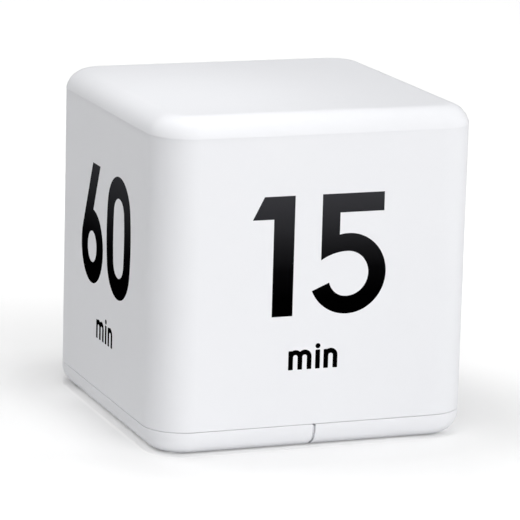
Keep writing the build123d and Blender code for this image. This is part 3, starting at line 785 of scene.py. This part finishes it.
# %% Solder joints
board_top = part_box("main_board")[1].z
tilt_centre = (-13.4 * mm, 1.0 * mm)
pin_out = 12.2 * mm
pin_side = 0.9 * mm
lead_radius = 0.6 * mm
crystal_pins = ((0.15, 0.55), (0.15, 1.45))


def pin_places():
    """Pins of the tilt switches, the crystal and the two battery leads, on the board."""
    places = []
    for turn in range(4):
        along = Matrix.Rotation(turn * math.pi / 2, 3, "Z")
        for side in (1, -1):
            spot = along @ Vector((pin_out, side * pin_side, 0))
            places.append((tilt_centre[0] + spot.x, tilt_centre[1] + spot.y, board_top))
    for node in ("lead_black", "lead_red"):
        low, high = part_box(node)
        places.append((low.x + lead_radius, high.y - lead_radius, board_top))
    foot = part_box("crystal")[0]
    return places + [(foot.x + x * mm, foot.y + y * mm, board_top) for x, y in crystal_pins]


def joint_recipe():
    """One joint on every pin."""
    recipe = Recipe("joints_on_pins")
    places = recipe.ask_shape("Places")
    joint = recipe.ask_shape("Joint")
    material = recipe.ask("Material", "Material")
    return recipe.give(recipe.scatter(places, joint), material)


def solder():
    """Bright tin with the dull skin of a hand-made joint."""
    finish = Finish("solder", Metallic=1.0)
    skin = finish.noise(0.3 * mm, 3.0)
    finish.feed("Base Color", finish.blend(skin, (0.55, 0.56, 0.57, 1), (0.72, 0.72, 0.72, 1)))
    finish.feed("Roughness", 0.22 + 0.30 * skin)
    finish.bump(skin, 0.02 * mm)
    return finish.material


flank = ((0, 0), (0.62, 0), (0.48, 0.07), (0.36, 0.22), (0.29, 0.42), (0, 0.47))
joint = turned("joint", [(radius * mm, height * mm) for radius, height in flank], 16)
pins = points_object("pins", pin_places())
joints = cook("solder_joints", joint_recipe(), Places=pins, Joint=joint, Material=solder())
smooth(joints, 60)
drop_helpers(joint, pins)

# %% [markdown]
# ## Finishes of the inner parts
# The base and the open battery bay show moulded, plated and rubbery parts. Each gets the finish
# that its making gives it. They are given node by node below, and a small table says which node
# wears what.

# %% Plastics and rubber


def moulded(name, colour, shade, roughness, grain=0.2 * mm, depth=0.004 * mm):
    """Plain moulded plastic or rubber: cloudy colour and a fine moulded grain."""
    finish = Finish(name, IOR=1.5)
    cloud = finish.noise(6 * mm, 3.0)
    texture = finish.noise(grain, 3.0)
    finish.feed("Base Color", finish.blend(cloud, colour, shade))
    finish.feed("Roughness", roughness + 0.15 * texture)
    finish.bump(texture, depth)
    return finish.material


chassis = moulded("chassis_plastic", (0.70, 0.70, 0.68, 1), (0.76, 0.76, 0.745, 1), 0.34)
knob = moulded("knob_plastic", (0.055, 0.058, 0.064, 1), (0.075, 0.078, 0.085, 1), 0.40)
black_plastic = moulded("buzzer_plastic", (0.012, 0.012, 0.013, 1), (0.022, 0.022, 0.023, 1), 0.30)
black_rubber = moulded("black_insulation", (0.012, 0.012, 0.012, 1), (0.024, 0.024, 0.024, 1), 0.34)
red_rubber = moulded("red_insulation", (0.46, 0.016, 0.014, 1), (0.58, 0.028, 0.022, 1), 0.34)
resin = moulded("resin", (0.008, 0.008, 0.009, 1), (0.016, 0.016, 0.017, 1), 0.10, 1.6 * mm, 0.08 * mm)
ceramic = moulded("chip_ceramic", (0.24, 0.15, 0.08, 1), (0.42, 0.30, 0.19, 1), 0.45)
plastics = (chassis, knob, black_plastic, black_rubber, red_rubber, resin, ceramic)
print("moulded finishes", [finish.name for finish in plastics])

# %% [markdown]
# ### Laminates and elastomer
# The switch and the tilt switches are closed by brown paper laminate, the board is glass cloth
# under green mask, and the two strips that join the display to it are silicone with conducting
# layers. A layered strip could be many thin solids. One PINGPONG node gives the same stripes.

# %% Laminates and elastomer
layer_pitch = 0.18 * mm


def phenolic():
    """Brown paper laminate with its fibres."""
    finish = Finish("phenolic", IOR=1.5)
    fibre = finish.noise(0.35 * mm, 5.0)
    finish.feed("Base Color", finish.blend(fibre, (0.13, 0.055, 0.022, 1), (0.25, 0.12, 0.05, 1)))
    finish.feed("Roughness", 0.38 + 0.2 * fibre)
    finish.bump(fibre, 0.01 * mm)
    return finish.material


def circuit_board():
    """Green solder mask, paler where copper tracks run under it."""
    finish = Finish("circuit_board", IOR=1.5)
    weave = finish.noise(0.25 * mm)
    settings = {"feature": "DISTANCE_TO_EDGE", "distance": "EUCLIDEAN"}
    inputs = {"Vector": finish.place, "Scale": 1 / (3.6 * mm), "Randomness": 0.75}
    track_gap = finish.add("ShaderNodeTexVoronoi", settings, inputs)
    track = track_gap.math("LESS_THAN", track_gap, 0.07)
    mask = finish.blend(weave, (0.008, 0.085, 0.030, 1), (0.012, 0.11, 0.042, 1))
    finish.feed("Base Color", finish.blend(track, mask, (0.03, 0.20, 0.07, 1)))
    finish.feed("Roughness", 0.20 + 0.10 * weave)
    finish.bump(track, 0.03 * mm)
    return finish.material


def striped_elastomer():
    """Silicone strip with thin conducting layers, one in each pitch along its length."""
    finish = Finish("striped_elastomer")
    across = finish.part("Y")
    layers = across.math("PINGPONG", across, layer_pitch / 2)
    dark = layers.math("GREATER_THAN", layers, layer_pitch / 4)
    finish.feed("Base Color", finish.blend(dark, (0.66, 0.42, 0.45, 1), (0.03, 0.03, 0.03, 1)))
    finish.feed("Roughness", 0.5 + 0.15 * finish.noise(0.4 * mm))
    return finish.material


brown_laminate = phenolic()
green_board = circuit_board()
elastomer = striped_elastomer()
print("layered finishes", [finish.name for finish in (brown_laminate, green_board, elastomer)])

# %% [markdown]
# ### Metals
# Zinc plate, nickel plate and ground steel differ in colour, in gloss and in the run of their
# grain. One function makes all three. A Mapping node stretches the grain of the nickel along
# the height, because contact strip is rolled and keeps fine lines from the rolls.

# %% Metals


def metal(name, colour, shade, roughness, grain, stretch, depth):
    """Bare or plated metal. stretch draws the grain out along each axis."""
    finish = Finish(name, Metallic=1.0)
    drawn = finish.add("ShaderNodeMapping", {}, {"Vector": finish.place, "Scale": stretch})
    streak = finish.noise(grain, 4.0, drawn)
    patch = finish.noise(2.5 * mm, 3.0)
    finish.feed("Base Color", finish.blend(patch, colour, shade))
    finish.feed("Roughness", roughness + 0.16 * streak + 0.08 * patch)
    finish.bump(streak, depth)
    return finish.material


even = (1, 1, 1)
rolled = (1, 1, 0.12)
zinc = metal("zinc_plate", (0.50, 0.51, 0.53, 1), (0.63, 0.63, 0.65, 1), 0.24, 0.3 * mm, even, 0.006 * mm)
nickel = metal("nickel_plate", (0.60, 0.58, 0.54, 1), (0.70, 0.68, 0.64, 1), 0.14, 0.2 * mm, rolled,
               0.004 * mm)
ball_steel = metal("ball_steel", (0.68, 0.68, 0.69, 1), (0.76, 0.76, 0.77, 1), 0.10, 0.1 * mm, even,
                   0.001 * mm)
print("metal finishes", [finish.name for finish in (zinc, nickel, ball_steel)])

# %% [markdown]
# ### Cells
# An AAA cell is a steel can in a printed sleeve. Nothing is printed here: the sleeve is black with
# a copper-coloured band at the positive end, as plain cells have. One ramp along the cell gives
# the bare steel nub, the dark insulating ring, the band, the sleeve and the bare rim at the end,
# and a second one says which of these are metal.

# %% Cells
band_starts = (0.0, 0.021, 0.034, 0.27, 0.975)
band_colours = ((0.66, 0.66, 0.66, 1), (0.02, 0.02, 0.02, 1), (0.62, 0.33, 0.13, 1),
                (0.018, 0.018, 0.020, 1), (0.60, 0.60, 0.61, 1))
band_metal = [grey(share) for share in (1.0, 0.0, 0.85, 0.25, 1.0)]


def cell_finish(node, positive_back):
    """Finish of one cell. positive_back says whether its positive end points to +Y."""
    low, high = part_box(node)
    finish = Finish(node + "_sleeve")
    y = finish.part("Y")
    past_nub = high.y - y if positive_back else y - low.y
    along = past_nub / (high.y - low.y)
    scuff = finish.noise(1.2 * mm, 4.0)
    for socket, bands in (("Base Color", band_colours), ("Metallic", band_metal)):
        finish.feed(socket, finish.ramp(along, list(zip(band_starts, bands)), steps=True))
    finish.feed("Roughness", 0.20 + 0.18 * scuff)
    finish.bump(scuff, 0.02 * mm)
    return finish.material


inner_sleeve = cell_finish("cell_inner", True)
outer_sleeve = cell_finish("cell_outer", False)
print("cell finishes", inner_sleeve.name, outer_sleeve.name)

# %% [markdown]
# ### Glass and films
# The window is clear acrylic, so it takes transmission and a little roughness from wear. The two
# glasses of the display are thin and faintly green. The polariser in front of them is what a
# person sees as the display's background, so it gets its own grey-green.

# %% Glass and films


def clear(name, tint, roughness, ior):
    """Clear sheet with faint wear."""
    finish = Finish(name, Transmission_Weight=1.0, IOR=ior)
    wear = finish.noise(2 * mm, 4.0)
    finish.feed("Base Color", finish.blend(wear, tint, [v * 0.97 for v in tint[:3]] + [1]))
    finish.feed("Roughness", roughness + 0.04 * wear)
    return finish.material


def film(name, colour, shade, roughness, metallic):
    """Plastic film glued to glass, with the slight mottle of its adhesive."""
    finish = Finish(name, Metallic=metallic)
    mottle = finish.noise(0.8 * mm, 3.0)
    finish.feed("Base Color", finish.blend(mottle, colour, shade))
    finish.feed("Roughness", roughness + 0.08 * mottle)
    return finish.material


acrylic = clear("window_acrylic", (0.97, 0.98, 0.98, 1), 0.02, 1.49)
display_glass = clear("display_glass", (0.90, 0.95, 0.91, 1), 0.0, 1.52)
polariser = film("polariser_film", (0.40, 0.43, 0.34, 1), (0.43, 0.46, 0.37, 1), 0.22, 0.0)
reflector = film("reflector_film", (0.62, 0.63, 0.60, 1), (0.68, 0.69, 0.66, 1), 0.28, 0.6)
print("sheet finishes", [finish.name for finish in (acrylic, display_glass, polariser, reflector)])

# %% [markdown]
# ### Dress the frame's nodes
# Most pieces keep the shape that the frame gives them and only need their finish. A table from
# each finish to its nodes is shorter than a line for every node, and it shows what is left out.

# %% Dress the frame's nodes
tilts = ("front", "back", "left", "right")
finishes = {
    casing: ["display_cover", "battery_door", "side_shell", "top_cover"],
    ink: list(figure_nodes),
    chassis: ["base_frame", "lcd_frame"],
    acrylic: ["display_lens"],
    display_glass: ["lcd_front_glass", "lcd_rear_glass"],
    polariser: ["lcd_polariser"],
    reflector: ["lcd_reflector"],
    elastomer: ["zebra_strips"],
    green_board: ["main_board"],
    resin: ["controller_blob"],
    ceramic: ["chip_parts"],
    zinc: ["crystal", "switch_can", "buzzer_diaphragm", "board_screws", "case_screws", "bay_screws"],
    nickel: ["negative_plate", "positive_plate", "link_plate", "spring_front", "spring_back"]
            + ["tilt_can_" + side for side in tilts],
    inner_sleeve: ["cell_inner"],
    outer_sleeve: ["cell_outer"],
    black_rubber: ["lead_black"],
    red_rubber: ["lead_red"],
    black_plastic: ["buzzer_case"],
    brown_laminate: ["switch_base"] + ["tilt_plug_" + side for side in tilts],
    knob: ["switch_actuator", "switch_knob"],
    ball_steel: ["tilt_ball_" + side for side in tilts],
}
dressed = 0
for material, nodes in finishes.items():
    for node in nodes:
        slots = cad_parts[node].data.materials
        slots.clear()
        slots.append(material)
        dressed += 1
print("dressed", dressed, "of", len(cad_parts), "nodes")

# %% [markdown]
# ## Hand the pieces over
# Every new piece rides on the body that carries it, and the node of the frame that a piece stands
# for is hidden. Then the frame can move its joints and the pieces follow.

# %% Ride and replace
made = [
    (walls, "casing", "side_shell", "casing"), (cap, "casing", "top_cover", "casing"),
    (cover, "casing", "display_cover", "casing"), (door, "door", "battery_door", "casing"),
    (switch_words, "casing", None, "ink"), (lit, "casing", None, "display_film"),
    (pale, "casing", None, "display_film"), (joints, "casing", None, "plated_steel"),
]
for piece, body, node, slot in made:
    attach(piece, body)
    if node:
        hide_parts(node)
print("pieces handed over", len(made))

# %% [markdown]
# ## Studio
# The photograph is a packshot: a white table that fades into white, a very large soft light above
# and a wide one in front. The left side gets most of its light from the table and the ceiling, so
# it is a clean mid grey. The picture was cut out to pure white further off, which no single paper
# does, so the table glows to the camera.
#
# The glow is painted light. It follows how far a point lies outside the outline of the cube, with
# a little more on both sides, so the paper close to the cube keeps a painted soft shadow. Along the
# front and the left edge a fine bright line under the cube is a painted reflection of its base, as
# glossy paper would mirror it. On the left the paper's colour holds a painted shade, a touch darker
# close to the cube, as the camera sees it. All of it is set by ramps over lengths in millimetres.

# %% Table
table_low = -0.02 * mm
table_reach = 8.0
# painted light: the paper's glow rises with the distance from the cube, leaving a painted soft shadow
# close to it, and is lifted on both sides
painted_glow_by_distance = ((-0.5, 0.03), (6, 0.03), (10, 0.045), (15, 0.09), (24, 0.15), (44, 0.195), (100, 0.33))
painted_glow_by_side = ((-54, 0.04), (-46, 0.06), (-38, 0.02), (-32, 0.0), (0, 0.035), (20, 0.065),
             (31, 0.125), (38, 0.10), (46, 0.05), (54, 0.02))
# painted reflection of the base: a fine bright line on the paper under the front and left edges
painted_base_reflection = ((-4, 0.09), (-3, 0.13), (-1.7, 0.30), (-0.5, 0.10), (0.5, 0.0))
painted_reflection_fade = (-12 * mm, -2 * mm)
# painted shade: the paper a touch darker close to the left side of the cube, over a band along Y
painted_shade_left = ((-41, 1.0), (-38.7, 0.985), (-36.7, 0.96), (-35.2, 0.932),
              (-33.2, 0.895), (-32.3, 0.885), (-31, 1.0))
painted_shade_band = ((-24, 0.0), (-12, 1.0), (8, 1.0), (17, 0.0))


def outline_distance(finish):
    """How far a point of the table is outside the outline of the cube, in metres."""
    inner = body_half - body_corner
    spread = finish.add("ShaderNodeVectorMath", {"operation": "ABSOLUTE"}, {0: finish.place})
    past = finish.add("ShaderNodeVectorMath", {"operation": "SUBTRACT"}, {0: spread, 1: (inner, inner, 0)})
    beyond = finish.add("ShaderNodeVectorMath", {"operation": "MAXIMUM"}, {0: past, 1: (0, 0, 0)})
    return finish.add("ShaderNodeVectorMath", {"operation": "LENGTH"}, {0: beyond}, "Value") - body_corner


def grey_along(finish, length, stops):
    """Grey that follows a length. Each stop is that length in millimetres, and the grey there."""
    first, last = stops[0][0], stops[-1][0]
    placed = [((at - first) / (last - first), grey(value)) for at, value in stops]
    return finish.ramp((length / mm - first) / (last - first), placed)


def paper_with_painted_shade(finish, seen):
    """White, with a painted shade a touch darker to the camera in a band close to the left side."""
    white = finish.blend(finish.noise(40 * mm), grey(0.83), grey(0.85))
    # painted shade close to the left side of the cube, seen by the camera only
    left = grey_along(finish, finish.part("X"), painted_shade_left)
    inside = grey_along(finish, finish.part("Y"), painted_shade_band)
    shade = finish.blend(inside, grey(1.0), left)
    return finish.combine("MULTIPLY", white, finish.blend(seen, grey(1.0), shade))


def painted_paper_glow(finish):
    """Painted light: glow by the distance from the cube and by the side, and a painted reflection along
    its front and left edges.
    """
    away = outline_distance(finish)
    across = finish.part("X")
    # painted reflection of the base, faded out towards the back and right
    faded = (across + finish.part("Y") - painted_reflection_fade[0]) / (painted_reflection_fade[1] - painted_reflection_fade[0])
    rim = finish.blend(faded, grey_along(finish, away, painted_base_reflection), grey(0.0))
    # painted light and soft shadow: glow by the distance from the cube and by the side
    outline = grey_along(finish, away, painted_glow_by_distance)
    side = grey_along(finish, across, painted_glow_by_side)
    return finish.combine("ADD", finish.combine("ADD", outline, side), rim)


def open_from_below(finish):
    """Lets light and the view from below pass through, and keeps the finish from above."""
    below = finish.add("ShaderNodeNewGeometry", out="Backfacing")
    shadow = finish.add("ShaderNodeLightPath", out="Is Shadow Ray")
    nothing = finish.add("ShaderNodeBsdfTransparent")
    paper = Wire(finish, finish.surface.outputs[0])
    open_way = below.math("MAXIMUM", below, shadow)
    mixed = finish.add("ShaderNodeMixShader", {}, {0: open_way, 1: paper, 2: nothing})
    finish.plug(finish.tree.nodes["Material Output"].inputs["Surface"], mixed)


def table_finish():
    """White paper that glows to the camera with painted light and shade, and is seen from above only."""
    finish = Finish("white_paper", Roughness=0.6, Specular_IOR_Level=0.1, Emission_Strength=1.0)
    seen = finish.add("ShaderNodeLightPath", out="Is Camera Ray")
    finish.feed("Base Color", paper_with_painted_shade(finish, seen))
    finish.feed("Emission Color", finish.blend(seen, grey(0.0), painted_paper_glow(finish)))
    open_from_below(finish)
    return finish.material


corners = [(x * table_reach, y * table_reach, table_low) for x, y in ((-1, -1), (1, -1), (1, 1), (-1, 1))]
table_mesh = bpy.data.meshes.new("table")
table_mesh.from_pydata(corners, [], [(0, 1, 2, 3)])
table = add_object("table", table_mesh)
table.data.materials.append(table_finish())
print("table", 2 * table_reach, "m wide")

# %% [markdown]
# ### Lights
# A packshot is lit by large soft boxes, which leave no hard shadow on a white object. Each box
# below is an area light aimed at the cube. A small spot lifts the left of the cap. A flat lamp
# under the table shines straight up through it, and shows the base in views from below, as far
# as the door slides. It leaves the contact shadow round the cube alone.

# %% Lights
under_inset = 4.2 * mm
under_depth = 10 * mm
door_travel = 32 * mm
room_grey = grey(0.02)


def lamp(name, kind, place, aim, power):
    """A light of the given kind at a place, pointed at another."""
    light = bpy.data.lights.new(name, kind)
    light.energy = power
    holder = add_object(name, light)
    holder.location = place
    holder.rotation_euler = (Vector(aim) - holder.location).to_track_quat("-Z", "Y").to_euler()
    return light


def softbox(name, place, size, power):
    """Square soft light aimed at the cube."""
    light = lamp(name, "AREA", place, (0, 0, 30 * mm), power)
    light.size = size
    return light


boxes = [
    softbox("ceiling_light", (0, 0.1, 1.6), 2.4, 11.6),
    softbox("overhead_light", (0, -0.1, 1.5), 0.4, 2.9),
    softbox("overhead_left_light", (-0.3, -0.3, 1.5), 0.5, 3.6),
    softbox("front_light", (0.3, -1.3, 0.7), 1.6, 11.4),
    softbox("low_front_light", (0.1, -1.3, 0.15), 0.3, 2.8),
    softbox("back_left_light", (-0.7, 0.7, 0.9), 0.8, 5.2),
    softbox("right_light", (1.2, 0, 0.6), 0.8, 3.6),
]
cap_spot = lamp("cap_spot", "SPOT", (-0.06, -0.08, 0.6), (-0.023, -0.010, 0.062), 2.1)
cap_spot.spot_size = math.radians(9)
cap_spot.spot_blend = 1.0
cap_spot.shadow_soft_size = 0.02
under_width = 2 * (body_half - under_inset)
under_middle = door_travel / 2
under_light = lamp("under_light", "AREA", (under_middle, 0, -under_depth), (under_middle, 0, 0), 0.0055)
under_light.shape = "RECTANGLE"
under_light.size = under_width + door_travel
under_light.size_y = under_width
under_light.spread = math.radians(12)
world = bpy.data.worlds.new("studio")
scene.world = world
world.use_nodes = True
air = Graph(world.node_tree)
seen = air.add("ShaderNodeLightPath", out="Is Camera Ray")
colour = air.add("ShaderNodeMix", {"data_type": "RGBA"}, {0: seen, 6: room_grey, 7: grey(1.0)}, 2)
air.plug(world.node_tree.nodes["Background"].inputs["Color"], colour)
scene.view_settings.view_transform = "Standard"
scene.view_settings.look = "None"
print("lights", len(bpy.data.lights), "of them soft boxes", len(boxes))

# %% [markdown]
# ## Sizes
# The size of the frame's box, in millimetres. The finished piece has to stay in the box of
# the frame.

# %% Sizes
print("frame", [round((b - a) / mm, 3) for a, b in zip(cad_low, cad_high)])
